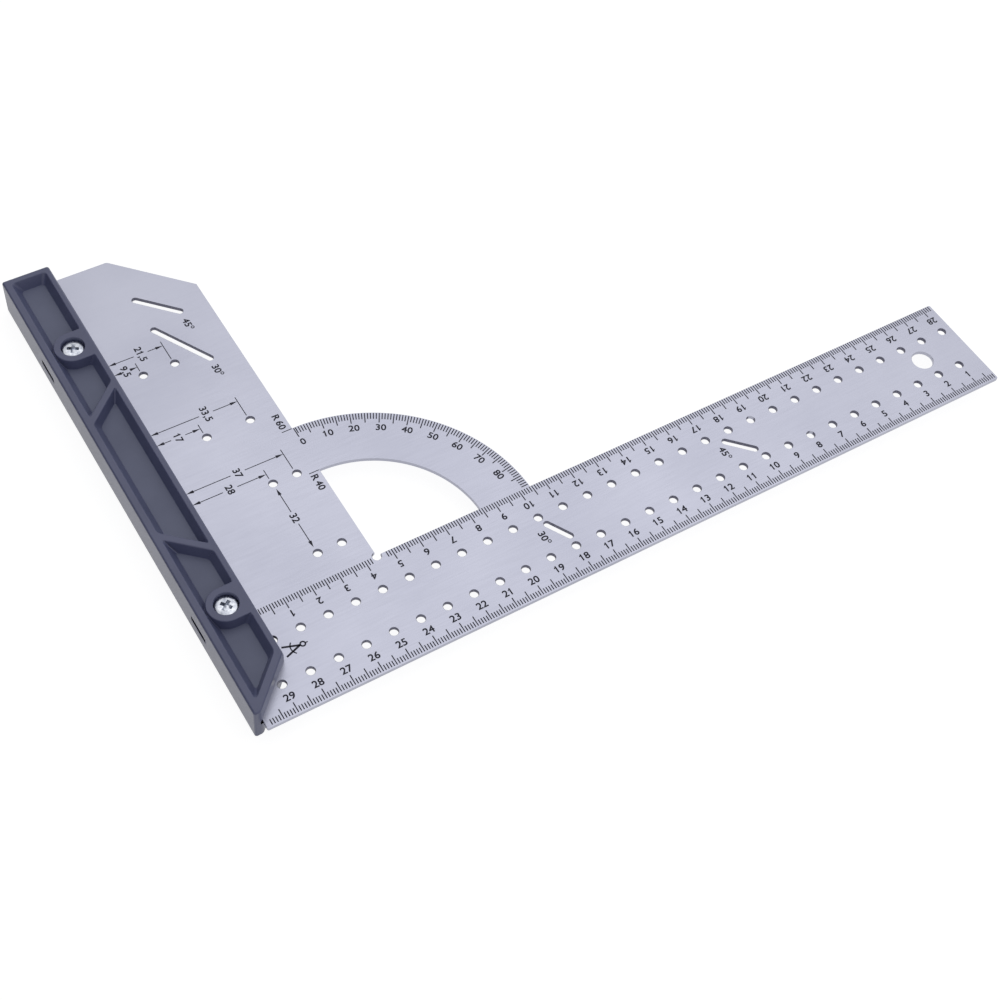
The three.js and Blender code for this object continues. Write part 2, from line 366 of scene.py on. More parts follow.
def slot_punch(name, radius, length):
    made = settle(put(punch(name, radius), local(), math.pi / HOLE_SIDES))
    edit(made)
    for side in (1, -1):
        choose(made, "VERT", lambda v, side=side: v.co.x * side > 0)
        move(x=side * length / 2)
    done()
    return made


PENCIL_RADIUS = 1.55
pencil_punch = punch("pencil_punch", PENCIL_RADIUS)
print(count(pencil_punch))

# %% [markdown]
# ## Where the holes are
# The ruler has two rows of pencil holes, ten millimetres apart, one row for each scale. The outer
# scale counts from the far end. The leg has gauge holes at the distances printed beside them, with
# two pairs 32 mm apart for shelf hardware. Slots mark the angles of 30 and 45 degrees, a small
# relief clears the inner corner, two holes take the screws and a larger one hangs the square up.

# %% Cut the holes
PITCH = 10
INNER_ROW_DEPTH = 12.5
OUTER_ROW_DEPTH = 28.2
OUTER_ZERO = blade_end + 1
GAUGE_HOLES = [(9.5, 105), (21.5, 105), (17, 70), (33.5, 70)]
GAUGE_HOLES += [(28, 42), (37, 42), (28, 10), (37, 10)]
SLOT_RADIUS = 1.2
LEG_SLOT_RUN = 12
RULER_SLOT_RISE = 7.6
# Place of a slot's middle, its angle and the distance between its two round ends
SLOTS = [
    (27.5, 132.3, 45, LEG_SLOT_RUN / math.cos(math.radians(45))),
    (27.5, 111.9, 60, LEG_SLOT_RUN / math.cos(math.radians(60))),
    (179.8, -RULER_WIDTH / 2, 45, RULER_SLOT_RISE / math.sin(math.radians(45))),
    (103.4, -RULER_WIDTH / 2, 60, RULER_SLOT_RISE / math.sin(math.radians(60))),
]
RELIEF_RADIUS = 1.6
RELIEF_DROP = 0.3
HANGING_RADIUS = 4.05
HANGING_INSET = 20
SCREW_HOLE_RADIUS = 2.25
SCREW_X = -8.4
SCREW_YS = (2.8, 122.8)

row_places = [(k * PITCH, -INNER_ROW_DEPTH) for k in range(29)]
row_places += [(OUTER_ZERO - k * PITCH, -OUTER_ROW_DEPTH) for k in range(1, 30)]
cutters = [twin(pencil_punch, at(x, y)) for x, y in row_places + GAUGE_HOLES]
for x, y, angle, length in SLOTS:
    slot = slot_punch("slot_punch", SLOT_RADIUS, length)
    cutters.append(put(slot, at(x, y), -math.radians(angle)))
single_holes = [(RELIEF_RADIUS, LEG_REACH, -RELIEF_DROP)]
single_holes += [(HANGING_RADIUS, blade_end - HANGING_INSET, -RULER_WIDTH / 2)]
single_holes += [(SCREW_HOLE_RADIUS, SCREW_X, y) for y in SCREW_YS]
cutters += [put(punch("hole_punch", radius), at(x, y)) for radius, x, y in single_holes]
discard(pencil_punch)
combine(blade, joined("all_punches", cutters), "DIFFERENCE")
print(len(cutters), "holes cut;", count(blade))

# %% [markdown]
# ## Shading the blade
# A sheet has large flat faces and fine round walls. Smoothing by angle makes the walls round, and
# normals weighted by area keep the large faces flat beside their fine rounds. The blade then
# stands for its plain solid and rides on the same body.

# %% Finish the blade's form
SMOOTH_ANGLE = math.radians(32)


def stand_in(thing, *nodes):
    pick(thing)
    bpy.ops.object.shade_smooth_by_angle(angle=SMOOTH_ANGLE)
    weighted = thing.modifiers.new("weighted_normals", "WEIGHTED_NORMAL")
    weighted.keep_sharp = True
    finish_modifier(thing, weighted)
    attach(thing, "root")
    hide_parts(*nodes)


stand_in(blade, "steel_blade")

# %% [markdown]
# ## A half of the stop: the outer body
# The stop is two mouldings that meet at the blade. Each is a long bar with a 45 degree end, whose
# fence is upright for a few millimetres, where it touches the board, and then leans in so that it
# leaves the mould. It starts as a box. One bisection cuts the slanted end, a second one with a
# leaning plane planes the fence above its upright lip. A bisection limits each part of its plane's
# direction to one, so a longer direction has to be brought to the length one first. All edges that
# rise are rounded, and then the rim of the outer face. Both halves are drawn upwards from the
# blade, and the lower one is mirrored later.

# %% Stop body
STOP_WIDTH = on_board(upper_high).x - on_board(upper_low).x
STOP_FOOT, STOP_TOP = on_board(upper_low).y, on_board(upper_high).y
STOP_RISE = on_board(upper_high).z
UPPER_CHAMFER_DROP = 20.6
LOWER_CHAMFER_DROP = 21.2
LIP_HEIGHT = 2.5
FENCE_DRAFT = 1.1
CHAMFER_SIDE = (1, -1, 0)
CORNER_ROUND = 0.8
CORNER_ROUND_STEPS = 6
FACE_ROUND = 0.75
FACE_ROUND_STEPS = 5


def stop_body(name, parting, height, chamfer_drop):
    body = block(name, at(-STOP_WIDTH, STOP_FOOT, 0), at(0, STOP_TOP, height))
    edit(body)
    bpy.ops.mesh.bisect(
        plane_co=at(0, -chamfer_drop), plane_no=CHAMFER_SIDE, use_fill=True, clear_outer=True
    )
    choose_all()
    lean = Vector((height - parting - LIP_HEIGHT, 0, FENCE_DRAFT)).normalized()
    bpy.ops.mesh.bisect(
        plane_co=at(0, 0, parting + LIP_HEIGHT), plane_no=lean, use_fill=True, clear_outer=True
    )
    choose(body, "EDGE", lambda edge: rise(edge) > MM)
    bevel(CORNER_ROUND, CORNER_ROUND_STEPS)
    choose(body, "EDGE", lambda edge: level(edge, height))
    bevel(FACE_ROUND, FACE_ROUND_STEPS)
    done()
    return body

# %% [markdown]
# ## The trough
# Mouldings are hollowed so that their walls stay even, and the hollow's walls lean outwards. The
# shape of the hollow is modelled as a solid and then taken out of the body. A plane is cut to the
# trough's outline, and one inset with a depth draws it in and down at the same time, which is
# exactly a leaning wall. The wall beside the outer rim leans further, so its foot is moved on. A
# lid closes the form, and its corner edges are rounded.

# %% Trough
OUTER_RIM = 2.7
FENCE_RIM = 3.0
END_RIM = 2.3
CHAMFER_RIM = 2.7
TROUGH_DEPTH = 4.1
TROUGH_DRAFT = 1.7
OUTER_WALL_DRAFT = 2.6
TROUGH_ROUND = 1.2
TROUGH_ROUND_STEPS = 6
OVERRUN = 1


def trough_form(height, chamfer_drop):
    left = -STOP_WIDTH + OUTER_RIM
    trough = card("trough", at(left, STOP_FOOT, height), at(-FENCE_RIM, STOP_TOP - END_RIM, height))
    rim_corner = at(0, -chamfer_drop + CHAMFER_RIM * math.sqrt(2))
    edit(trough)
    bpy.ops.mesh.bisect(plane_co=rim_corner, plane_no=CHAMFER_SIDE, clear_outer=True)
    choose(trough, "FACE", lambda face: True)
    bpy.ops.mesh.inset(thickness=TROUGH_DRAFT * MM, depth=-TROUGH_DEPTH * MM)
    further = OUTER_WALL_DRAFT - TROUGH_DRAFT
    for end, y_shift in ((1, 0), (-1, further)):
        choose(trough, "VERT", lambda v, end=end: near(on_board(v.co).x, left + TROUGH_DRAFT)
               and on_board(v.co).y * end > 0)
        move(x=further, y=y_shift)
    choose(trough, "EDGE", lambda edge: edge.is_boundary)
    bpy.ops.mesh.edge_face_add()
    turn_faces_out()
    choose(trough, "EDGE", lambda edge: rise(edge) > MM)
    bevel(TROUGH_ROUND, TROUGH_ROUND_STEPS)
    choose_facing(trough, Z)
    extrude(z=OVERRUN)
    done()
    return trough

# %% [markdown]
# ## Bosses and ribs
# Where a screw passes, a round boss stands in the trough and a web ties it to the fence rim. Two
# slanted ribs stiffen the long floor. A boss is half a drafted cylinder whose flat side is extruded
# to the fence. A rib is a box, narrower at the top, turned about its middle. Both are taken away
# from the trough's solid, so that the plastic stays there. The tall corners that they leave are
# rounded, because a mould is milled with a round cutter.

# %% Bosses and ribs
BOSS_RADIUS = 6.6
BOSS_DRAFT = 0.5
BOSS_SIDES = 64
RIB_WIDTH = 2.4
RIB_DRAFT = 1.2
RIB_SPACING = 65
RIB_ANGLE = math.radians(42)
POCKET_ROUND = 1.0
POCKET_ROUND_STEPS = 8
TALL_CORNER = 0.85 * TROUGH_DEPTH
CORNER_ANGLE = math.radians(35)


def foot_and_head(height):
    return height - TROUGH_DEPTH - OVERRUN, height + 2 * OVERRUN


def drafted(half_width, draft, height):
    return [half_width + draft * (height - z) / TROUGH_DEPTH for z in foot_and_head(height)]


def boss_form(y, height):
    foot, head = foot_and_head(height)
    foot_radius, head_radius = drafted(BOSS_RADIUS, BOSS_DRAFT, height)
    boss = rod("boss", foot_radius, at(SCREW_X, y, foot), at(SCREW_X, y, head), sides=BOSS_SIDES)
    edit(boss)
    choose_facing(boss, Z)
    share = head_radius / foot_radius
    resize(share, share, at(SCREW_X, y))
    choose_all()
    bpy.ops.mesh.bisect(
        plane_co=at(SCREW_X, y), plane_no=(1, 0, 0), use_fill=True, clear_outer=True
    )
    choose_facing(boss, X)
    extrude(x=-SCREW_X)
    done()
    return boss


def rib_form(side, height):
    foot, head = foot_and_head(height)
    foot_half, head_half = drafted(RIB_WIDTH / 2, RIB_DRAFT, height)
    rib = block("rib", local(-STOP_WIDTH, -foot_half, foot), local(STOP_WIDTH, foot_half, head))
    edit(rib)
    choose_facing(rib, Z)
    resize(1, head_half / foot_half, local())
    done()
    trough_x = (-STOP_WIDTH + OUTER_RIM - FENCE_RIM) / 2
    rib_y = (sum(SCREW_YS) + side * RIB_SPACING) / 2
    return settle(put(rib, at(trough_x, rib_y), side * RIB_ANGLE))


def clean_up():
    weld()
    bpy.ops.mesh.dissolve_limited(angle_limit=FLAT_ANGLE)


def pocket_form(height, chamfer_drop):
    pocket = trough_form(height, chamfer_drop)
    for y in SCREW_YS:
        combine(pocket, boss_form(y, height), "DIFFERENCE")
    for side in (1, -1):
        combine(pocket, rib_form(side, height), "DIFFERENCE")
    edit(pocket)
    clean_up()
    tall = choose(pocket, "EDGE", lambda edge: rise(edge) > TALL_CORNER * MM
                  and edge.calc_face_angle(0) > CORNER_ANGLE)
    print(tall, "tall corners")
    bevel(POCKET_ROUND, POCKET_ROUND_STEPS)
    done()
    return pocket

# %% [markdown]
# ## The upper half
# The upper half has a counterbore for each screw head and a smaller hole for its shank. All edges
# of a moulding are slightly round, inside and outside, and those fine rounds are what catches the
# light on dark plastic. One bevel makes them all at the end. Only the edges at the parting face
# and around the pockets' floors stay sharp: the halves close on the blade without a groove, and a
# moulded floor meets its wall in a corner.

# %% Upper half
HEAD_HEIGHT = 2.3
HEAD_SEAT = on_board(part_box("stop_screw_heel")[1]).z - HEAD_HEIGHT
COUNTERBORE_RADIUS = 4.15
SHANK_HOLE_RADIUS = 2.05
MOULD_ROUND = 0.32
MOULD_ROUND_STEPS = 3
BEVEL_ANGLE = math.radians(25)


def round_edges(thing, parting, floor_z):
    edit(thing)
    clean_up()
    choose(thing, "EDGE", lambda edge: edge.calc_face_angle(0) > BEVEL_ANGLE
           and max(on_board(v.co).z for v in edge.verts) > parting + MERGE_GAP
           and not level(edge, floor_z))
    bevel(MOULD_ROUND, MOULD_ROUND_STEPS)
    done()


upper = stop_body("stop_upper_shell", 0, STOP_RISE, UPPER_CHAMFER_DROP)
combine(upper, pocket_form(STOP_RISE, UPPER_CHAMFER_DROP), "DIFFERENCE")
for y in SCREW_YS:
    seat = at(SCREW_X, y, HEAD_SEAT)
    bore = rod("counterbore", COUNTERBORE_RADIUS, seat, at(SCREW_X, y, STOP_RISE + OVERRUN))
    combine(upper, bore, "DIFFERENCE")
    bore = rod("shank_hole", SHANK_HOLE_RADIUS, at(SCREW_X, y, -OVERRUN), seat + local(z=OVERRUN))
    combine(upper, bore, "DIFFERENCE")
round_edges(upper, 0, STOP_RISE - TROUGH_DEPTH)
stand_in(upper, "stop_upper_half")
print(count(upper))

# %% [markdown]
# ## The lower half
# The lower half is the same bar, deeper by the blade's thickness, with a seat sunk into it for the
# blade, blind holes for the screws' threads and a narrow window beside each screw, which is cut a
# little deeper than the seat. It is drawn upwards like the first one and then mirrored at the
# blade's face. A mirror turns every face inside out, so the normals are recalculated after it.

# %% Lower half
SEAT_CLEARANCE = 0.8
SEAT_END_CLEARANCE = 0.3
WINDOW_LENGTH = 10
WINDOW_DEEPER = 0.9
PILOT_BOTTOM = 1.2

lower_height = -on_board(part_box("stop_lower_half")[0]).z
lower = stop_body("stop_lower_shell", thickness, lower_height, LOWER_CHAMFER_DROP)
combine(lower, pocket_form(lower_height, LOWER_CHAMFER_DROP), "DIFFERENCE")
seat_low = at(blade_heel - SEAT_CLEARANCE, blade_foot - OVERRUN, -OVERRUN)
seat_high = at(OVERRUN, blade_top + SEAT_END_CLEARANCE, thickness)
combine(lower, block("seat", seat_low, seat_high), "DIFFERENCE")
for y in SCREW_YS:
    window_low = at(-STOP_WIDTH - OVERRUN, y - WINDOW_LENGTH / 2, -OVERRUN)
    window_high = at(blade_heel, y + WINDOW_LENGTH / 2, thickness + WINDOW_DEEPER)
    combine(lower, block("side_window", window_low, window_high), "DIFFERENCE")
    pilot_end = at(SCREW_X, y, lower_height - PILOT_BOTTOM)
    combine(lower, rod("pilot", SHANK_HOLE_RADIUS, at(SCREW_X, y), pilot_end), "DIFFERENCE")
round_edges(lower, thickness, lower_height - TROUGH_DEPTH)
edit(lower)
bpy.ops.transform.mirror(constraint_axis=(False, False, True), center_override=at(0, 0))
turn_faces_out()
done()
stand_in(lower, "stop_lower_half")
print(count(lower))

# %% [markdown]
# ## The screws
# Bright zinc screws with a flat domed head and a cross recess hold the stop together. The head is a
# cylinder whose top edge is bevelled into a dome. The recess is cut by a tapered cross: two
# thin blocks whose lower ends are drawn in, with a narrow point. One finished screw is copied to
# the second place.

# %% Screw head
HEAD_RADIUS = 3.85
DOME_RISE = 0.45
SHANK_RADIUS = 1.75
SHANK_LENGTH = 9.8
TIP_LENGTH = 1.2
DOME_STEPS = 6
RECESS_SPAN = 4.65
RECESS_WIDTH = 1.3
RECESS_DEPTH = 1.6
RECESS_OVERRUN = 0.3
RECESS_SPAN_SHARE = 0.45
RECESS_WIDTH_SHARE = 0.8


def recess_wing():
    low = local(-RECESS_SPAN / 2, -RECESS_WIDTH / 2, HEAD_HEIGHT - RECESS_DEPTH)
    high = local(RECESS_SPAN / 2, RECESS_WIDTH / 2, HEAD_HEIGHT + RECESS_OVERRUN)
    wing = block("recess_wing", low, high)
    edit(wing)
    choose_facing(wing, Z, -1)
    resize(RECESS_SPAN_SHARE, RECESS_WIDTH_SHARE, local())
    done()
    return wing


screw = rod("stop_screw_master", HEAD_RADIUS, local(), local(z=HEAD_HEIGHT - DOME_RISE))
edit(screw)
rim_radius, rim_height = HEAD_RADIUS, 0
for step in range(1, DOME_STEPS):
    angle = math.radians(90) * step / DOME_STEPS
    ring_radius, ring_height = HEAD_RADIUS * math.cos(angle), DOME_RISE * math.sin(angle)
    choose(screw, "FACE", lambda face: face.normal.z > FACING and len(face.verts) > 4)
    step_in, step_up = rim_radius - ring_radius, ring_height - rim_height
    bpy.ops.mesh.inset(thickness=step_in * MM, depth=step_up * MM)
    rim_radius, rim_height = ring_radius, ring_height
done()
for turn in (0, math.radians(90)):
    combine(screw, settle(put(recess_wing(), local(), turn)), "DIFFERENCE")
print(count(screw))

# %% [markdown]
# ## Shank and thread
# The shank grows out of the head's underside: an inset draws the core's circle, one extrusion makes
# the shank and a second one, drawn in, its tip. The thread is a small triangle swept by the screw
# modifier. It bites into the lower half only, so it starts below the blade.

# %% Shank and thread
CORE_RADIUS = 1.4
TIP_SHARE = 0.4
THREAD_ROOT = 0.1
THREAD_PITCH = 1.3
THREAD_TURNS = 4
THREAD_STEPS = 20
SCREW_TURNS = (math.radians(38), math.radians(60))

edit(screw)
choose_facing(screw, Z, -1)
bpy.ops.mesh.inset(thickness=(HEAD_RADIUS - CORE_RADIUS) * MM, depth=0)
extrude(z=TIP_LENGTH - SHANK_LENGTH)
extrude(z=-TIP_LENGTH)
resize(TIP_SHARE, TIP_SHARE, local(z=-SHANK_LENGTH))
done()

thread_half = THREAD_PITCH / 3
thread_low = local(CORE_RADIUS - THREAD_ROOT, -thread_half)
thread = card("thread", thread_low, local(SHANK_RADIUS, thread_half))
thread.matrix_world = Matrix.Rotation(math.radians(90), 4, "X")
settle(thread)
edit(thread)
choose(thread, "VERT", lambda v: v.co.x > (CORE_RADIUS + THREAD_ROOT) * MM)
bpy.ops.mesh.merge(type="CENTER")
choose_all()
move(z=TIP_LENGTH - SHANK_LENGTH)
bpy.ops.mesh.delete(type="ONLY_FACE")
done()
sweep = thread.modifiers.new("sweep", "SCREW")
sweep.angle = math.radians(360)
sweep.screw_offset = THREAD_PITCH * MM
sweep.iterations = THREAD_TURNS
sweep.steps = THREAD_STEPS
finish_modifier(thread, sweep)
edit(thread)
choose(thread, "EDGE", lambda edge: edge.is_boundary)
bpy.ops.mesh.edge_face_add()
turn_faces_out()
done()
screw = joined("stop_screw_master", [screw, thread])

for end, y, turn in zip(("heel", "top"), SCREW_YS, SCREW_TURNS):
    placed = twin(screw, at(SCREW_X, y, HEAD_SEAT), turn)
    placed.name = f"{end}_screw"
    stand_in(settle(placed), f"stop_screw_{end}")
    print(count(placed))
discard(screw)

# %% [markdown]
# ## Printed marks: strokes
# The scales are printed on the steel in dark ink. A painted texture would be quick, but a thin
# raised layer of ink keeps its sharp edge at any distance, and it is measured like the rest. Each
# kind of stroke is a card that is extruded to the ink's thickness and drawn in a little at the
# top. It is made once, lying at the origin, and copied to its places.

# %% Strokes
INK_RISE = 0.02
INK_SINK = 0.02
TICK_WIDTH = 0.39
TOP_SHARE = 0.97


def stroke(name, width, length):
    bar = card(name, local(-width / 2, 0, -INK_SINK), local(width / 2, length, -INK_SINK))
    edit(bar)
    extrude(z=INK_RISE + INK_SINK)
    resize(TOP_SHARE, 1, local())
    done()
    return bar


def tick_pair(short, long):
    return stroke("short_tick", TICK_WIDTH, short), stroke("long_tick", TICK_WIDTH, long)


def scale_marks(zero, direction, marks, foot, short, long, turn):
    ticks = tick_pair(short, long)
    made = [twin(ticks[k % 5 == 0], at(zero + direction * k, foot), turn) for k in marks]
    discard(*ticks)
    return made


RELIEF_GAP = range(43, 48)
INNER_MARKS = [k for k in range(1, 284) if k not in RELIEF_GAP]
OUTER_MARKS = range(2, 300)
inner_parts = scale_marks(0, 1, INNER_MARKS, foot=-0.1, short=2.3, long=4.3, turn=math.pi)
outer_parts = scale_marks(OUTER_ZERO, -1, OUTER_MARKS, foot=-39.35, short=2.05, long=3.85, turn=0)
print(len(inner_parts), "inner ticks,", len(outer_parts), "outer ticks")

# %% [markdown]
# ## Printed marks: figures
# The figures are text, made a mesh. Ten digits are enough for all of them, so each sign is made
# once, at the origin, with the ink's thickness, and a number is set from copies like type. The
# built-in type is thin, so each sign is united with itself moved a little to the side and up. The
# small ring of the degrees would fill that way, so it is made like a washer. The type has a bare
# bar for a one, so that sign gets its flag as a second little bar.

# %% Type
FIGURE_HEIGHT = 2.5
CAP_SHARE = 0.69
FIGURE_STRETCH = 1.08
FIGURE_SPREAD = 0.14
DEGREE_OUTER, DEGREE_INNER, DEGREE_Y = 0.68, 0.36, 0.85
ADVANCE_SHARES = {",": 0.28, " ": 0.2, "R": 0.58, "°": 0.4}
DIGIT_ADVANCE_SHARE = 0.5
ONE_FLAG_WIDTH = 0.34
ONE_FLAG_LENGTH = 0.95
ONE_FLAG_X = 0.05
ONE_FLAG_DROP = 0.18
ONE_FLAG_TURN = math.radians(128)
CURVE_STEPS = 3
TYPE_MERGE_GAP = 0.001
RING_SIDES = 32
EM = FIGURE_HEIGHT / CAP_SHARE
type_case = {}


def ring(name, outer, inner, place):
    made = rod(name, outer, place + local(z=-INK_SINK), place + local(z=INK_RISE), RING_SIDES)
    eye = rod("eye", inner, place + local(z=-OVERRUN), place + local(z=OVERRUN), RING_SIDES)
    combine(made, eye, "DIFFERENCE")
    return made


def cast(sign):
    if sign == "°":
        return ring("degree", DEGREE_OUTER, DEGREE_INNER, local(y=DEGREE_Y))
    bpy.ops.object.text_add()
    letter = bpy.context.object
    letter.data.body = sign
    letter.data.align_x = "CENTER"
    letter.data.size = EM * MM
    letter.data.extrude = (INK_RISE + INK_SINK) / 2 * MM
    letter.data.resolution_u = CURVE_STEPS
    bpy.ops.object.convert(target="MESH")
    stretch = Matrix.Diagonal((FIGURE_STRETCH, 1, 1, 1))
    letter.matrix_world = Matrix.Translation(local(y=-FIGURE_HEIGHT / 2)) @ stretch
    settle(letter)
    edit(letter)
    weld(TYPE_MERGE_GAP)
    turn_faces_out()
    done()
    for x, y in ((FIGURE_SPREAD, 0), (0, FIGURE_SPREAD)):
        combine(letter, twin(letter, local(x, y)), "UNION")
    settle(put(letter, local(-FIGURE_SPREAD / 2, -FIGURE_SPREAD / 2)))
    if sign == "1":
        one_flag = stroke("one_flag", ONE_FLAG_WIDTH, ONE_FLAG_LENGTH)
        put(one_flag, local(ONE_FLAG_X, FIGURE_HEIGHT / 2 - ONE_FLAG_DROP), ONE_FLAG_TURN)
        combine(letter, settle(one_flag), "UNION")
    return letter


def figures(words, x, y, turn=0):
    shares = [ADVANCE_SHARES.get(sign, DIGIT_ADVANCE_SHARE) for sign in words]
    advances = [share * EM * FIGURE_STRETCH for share in shares]
    pen = -sum(advances) / 2
    made = []
    for sign, advance in zip(words, advances):
        if sign != " ":
            if sign not in type_case:
                type_case[sign] = cast(sign)
            offset = Matrix.Rotation(turn, 3, "Z") @ local(pen + advance / 2)
            made.append(twin(type_case[sign], at(x, y) + offset, turn))
        pen += advance
    return made


INNER_FIGURE_Y = -6.65
OUTER_FIGURE_Y = -33.15
for k in range(1, 29):
    inner_parts += figures(str(k), k * PITCH, INNER_FIGURE_Y, math.pi)
for k in range(1, 30):
    outer_parts += figures(str(k), OUTER_ZERO - k * PITCH, OUTER_FIGURE_Y)
print(len(type_case), "signs cast")

# %% [markdown]
# ## Printed marks: the protractor
# The arc is divided into single degrees from the leg to the ruler. Every tick points at the arc's
# centre and every tenth has its figure, upright when that tick points up. So one angle gives the
# place and the turn of both.

# %% Protractor marks
DEGREE_TICK = 2.6
FIVE_DEGREE_TICK = 4.2
DEGREE_FIGURE_RADIUS = 53.2
DEGREE_EDGE = 0.25
DEGREE_FIGURE_SHIFT = 0.7


def on_arc(radius, degrees):
    angle = math.radians(degrees)
    return LEG_REACH + radius * math.sin(angle), radius * math.cos(angle)


degree_ticks = tick_pair(DEGREE_TICK, FIVE_DEGREE_TICK)
arc_parts = []
for degree in range(1, 90):
    x, y = on_arc(ARC_OUTER - DEGREE_EDGE, degree)
    arc_parts.append(twin(degree_ticks[degree % 5 == 0], at(x, y), math.pi - math.radians(degree)))
zero_x, zero_y = on_arc(ARC_OUTER - DEGREE_EDGE, 0)
arc_parts.append(twin(degree_ticks[1], at(zero_x + TICK_WIDTH, zero_y), math.pi))
for degree in range(0, 90, 10):
    x, y = on_arc(DEGREE_FIGURE_RADIUS, degree)
    arc_parts += figures(str(degree), x + DEGREE_FIGURE_SHIFT, y, -math.radians(degree))
discard(*degree_ticks)
print(len(arc_parts), "protractor marks")

# %% [markdown]
# ## Printed marks: hole distances
# Each gauge hole has its distance from the fence printed like a dimension on a drawing: a line
# with an arrowhead at each end, a gap for the figure and a short extension line down to the hole.
# The figures read from the ruler's end, so they are turned a quarter. Lines are strokes, an
# arrowhead is a card whose far edge is merged to a point. Where a figure leaves no room, the line
# is left out.

# %% Dimension lines
LINE_WIDTH = 0.31
ARROW_LENGTH = 2.8
ARROW_WIDTH = 1.25
FIGURE_GAP = 5.3
ARROW_CLEARANCE = 0.35
READING_TURN = -math.radians(90)
# Figure, distance, figure's place, height of the line, top and foot of the extension line
DISTANCES = [
    ("21,5", 21.5, 12.7, 114.2, 116.3, 107.2),
    ("9,5", 9.5, 4.75, 109.3, 111.2, 107.2),
    ("33,5", 33.5, 21.2, 79.35, 81.3, 72.3),
    ("17", 17, 8.4, 74.4, 76.3, 72.3),
    ("37", 37, 19.5, 51.5, 53.5, 44.4),
    ("28", 28, 14.2, 46.45, 48.5, 44.4),
]


def line(x, y, length, turn, width=LINE_WIDTH):
    return put(stroke("line", width, length), at(x, y), turn)


def arrow(x, y, turn):
    half = ARROW_WIDTH / 2
    head = card("arrowhead", local(-half, -ARROW_LENGTH, -INK_SINK), local(half, 0, -INK_SINK))
    edit(head)
    choose(head, "VERT", lambda v: v.co.y > -MERGE_GAP * MM)
    bpy.ops.mesh.merge(type="CENTER")
    choose_all()
    extrude(z=INK_RISE + INK_SINK)
    done()
    return put(head, at(x, y), turn)


def shaft(figure, low, high):
    halves = (
        (low + ARROW_LENGTH, figure - FIGURE_GAP / 2),
        (figure + FIGURE_GAP / 2, high - ARROW_LENGTH),
    )
    return [(start, stop - start) for start, stop in halves if stop > start]


distance_parts = []
for words, distance, figure_x, line_y, line_top, line_foot in DISTANCES:
    tip = distance - LINE_WIDTH
    distance_parts += figures(words, figure_x, line_y, READING_TURN)
    distance_parts.append(arrow(ARROW_CLEARANCE, line_y, -READING_TURN))
    distance_parts.append(arrow(tip, line_y, READING_TURN))
    distance_parts.append(line(tip, line_foot, line_top - line_foot, 0))
    for start, length in shaft(figure_x, ARROW_CLEARANCE, tip):
        distance_parts.append(line(start, line_y, length, READING_TURN))

PAIR_X = 27.9
PAIR_LOW, PAIR_MIDDLE, PAIR_HIGH = 12.6, 26, 39.5
distance_parts += figures("32", PAIR_X, PAIR_MIDDLE, READING_TURN)
distance_parts += [arrow(PAIR_X, PAIR_HIGH, 0), arrow(PAIR_X, PAIR_LOW, math.pi)]
for start, length in shaft(PAIR_MIDDLE, PAIR_LOW, PAIR_HIGH):
    distance_parts.append(line(PAIR_X, start, length, 0))

RADIUS_FIGURE_X = 41.75
RADIUS_LINE = 3.8
RADIUS_LINE_X = LEG_REACH - RADIUS_LINE - 0.2
RADIUS_LINE_DROP = 0.15
for words, radius, figure_y in (("R 60", ARC_OUTER, 64.5), ("R 40", ARC_INNER, 35.4)):
    distance_parts += figures(words, RADIUS_FIGURE_X, figure_y, READING_TURN)
    line_y = radius - RADIUS_LINE_DROP
    distance_parts.append(line(RADIUS_LINE_X, line_y, RADIUS_LINE, READING_TURN))
print(len(distance_parts), "parts of dimension lines")

# %% [markdown]
# ## Printed marks: slot angles and the sign of the dividers
# Each slot is named by its angle. Beside the first hole of the inner row stands the small sign of a
# pair of dividers, because a compass point can be set in these holes: two legs, a ring with a
# handle, and the bow between the legs. The ring is made like the one of the degrees, and the bow
# is the edge of a card, spun about the bow's centre.

# %% Slot angles and dividers
ANGLE_FIGURES = [
    ("45°", 33.45, 119.3), ("30°", 33.4, 95.2), ("30°", 97.5, -20.5), ("45°", 173, -20.4)
]
angle_parts = []
for words, x, y in ANGLE_FIGURES:
    angle_parts += figures(words, x, y, READING_TURN)

SIGN_Y = -18.3
HINGE_X = 7.7
RING_OUTER, RING_INNER = 1.1, 0.56
LEG_TIP_X, LEG_SPREAD = 1.1, 1.95
LEG_ROOT_SHARE = 0.9
SIGN_STROKE = 0.72
HANDLE_X, HANDLE_LENGTH, HANDLE_WIDTH = HINGE_X + RING_OUTER - 0.1, 0.75, 0.42
BOW_X, BOW_RADIUS, BOW_WIDTH = 6.42, 2.92, 0.42
BOW_SWEEP = math.radians(98)
BOW_STEPS = 18
BOW_CARD = 0.05

sign_parts = [
    ring("hinge", RING_OUTER, RING_INNER, at(HINGE_X, SIGN_Y)),
    line(HANDLE_X, SIGN_Y, HANDLE_LENGTH, READING_TURN, HANDLE_WIDTH),
]
reach = HINGE_X - RING_OUTER * LEG_ROOT_SHARE - LEG_TIP_X
slant = math.atan2(LEG_SPREAD, reach)
length = math.hypot(LEG_SPREAD, reach)
for side in (1, -1):
    tip_y = SIGN_Y + side * LEG_SPREAD
    sign_parts.append(line(LEG_TIP_X, tip_y, length, READING_TURN - side * slant, SIGN_STROKE))
bow_centre = at(BOW_X, SIGN_Y)
bow_low = at(BOW_X - BOW_RADIUS - BOW_WIDTH / 2, SIGN_Y - BOW_CARD, -INK_SINK)
bow_high = at(BOW_X - BOW_RADIUS + BOW_WIDTH / 2, SIGN_Y, -INK_SINK)
bow = card("bow", bow_low, bow_high)
edit(bow)
bpy.ops.mesh.delete(type="ONLY_FACE")
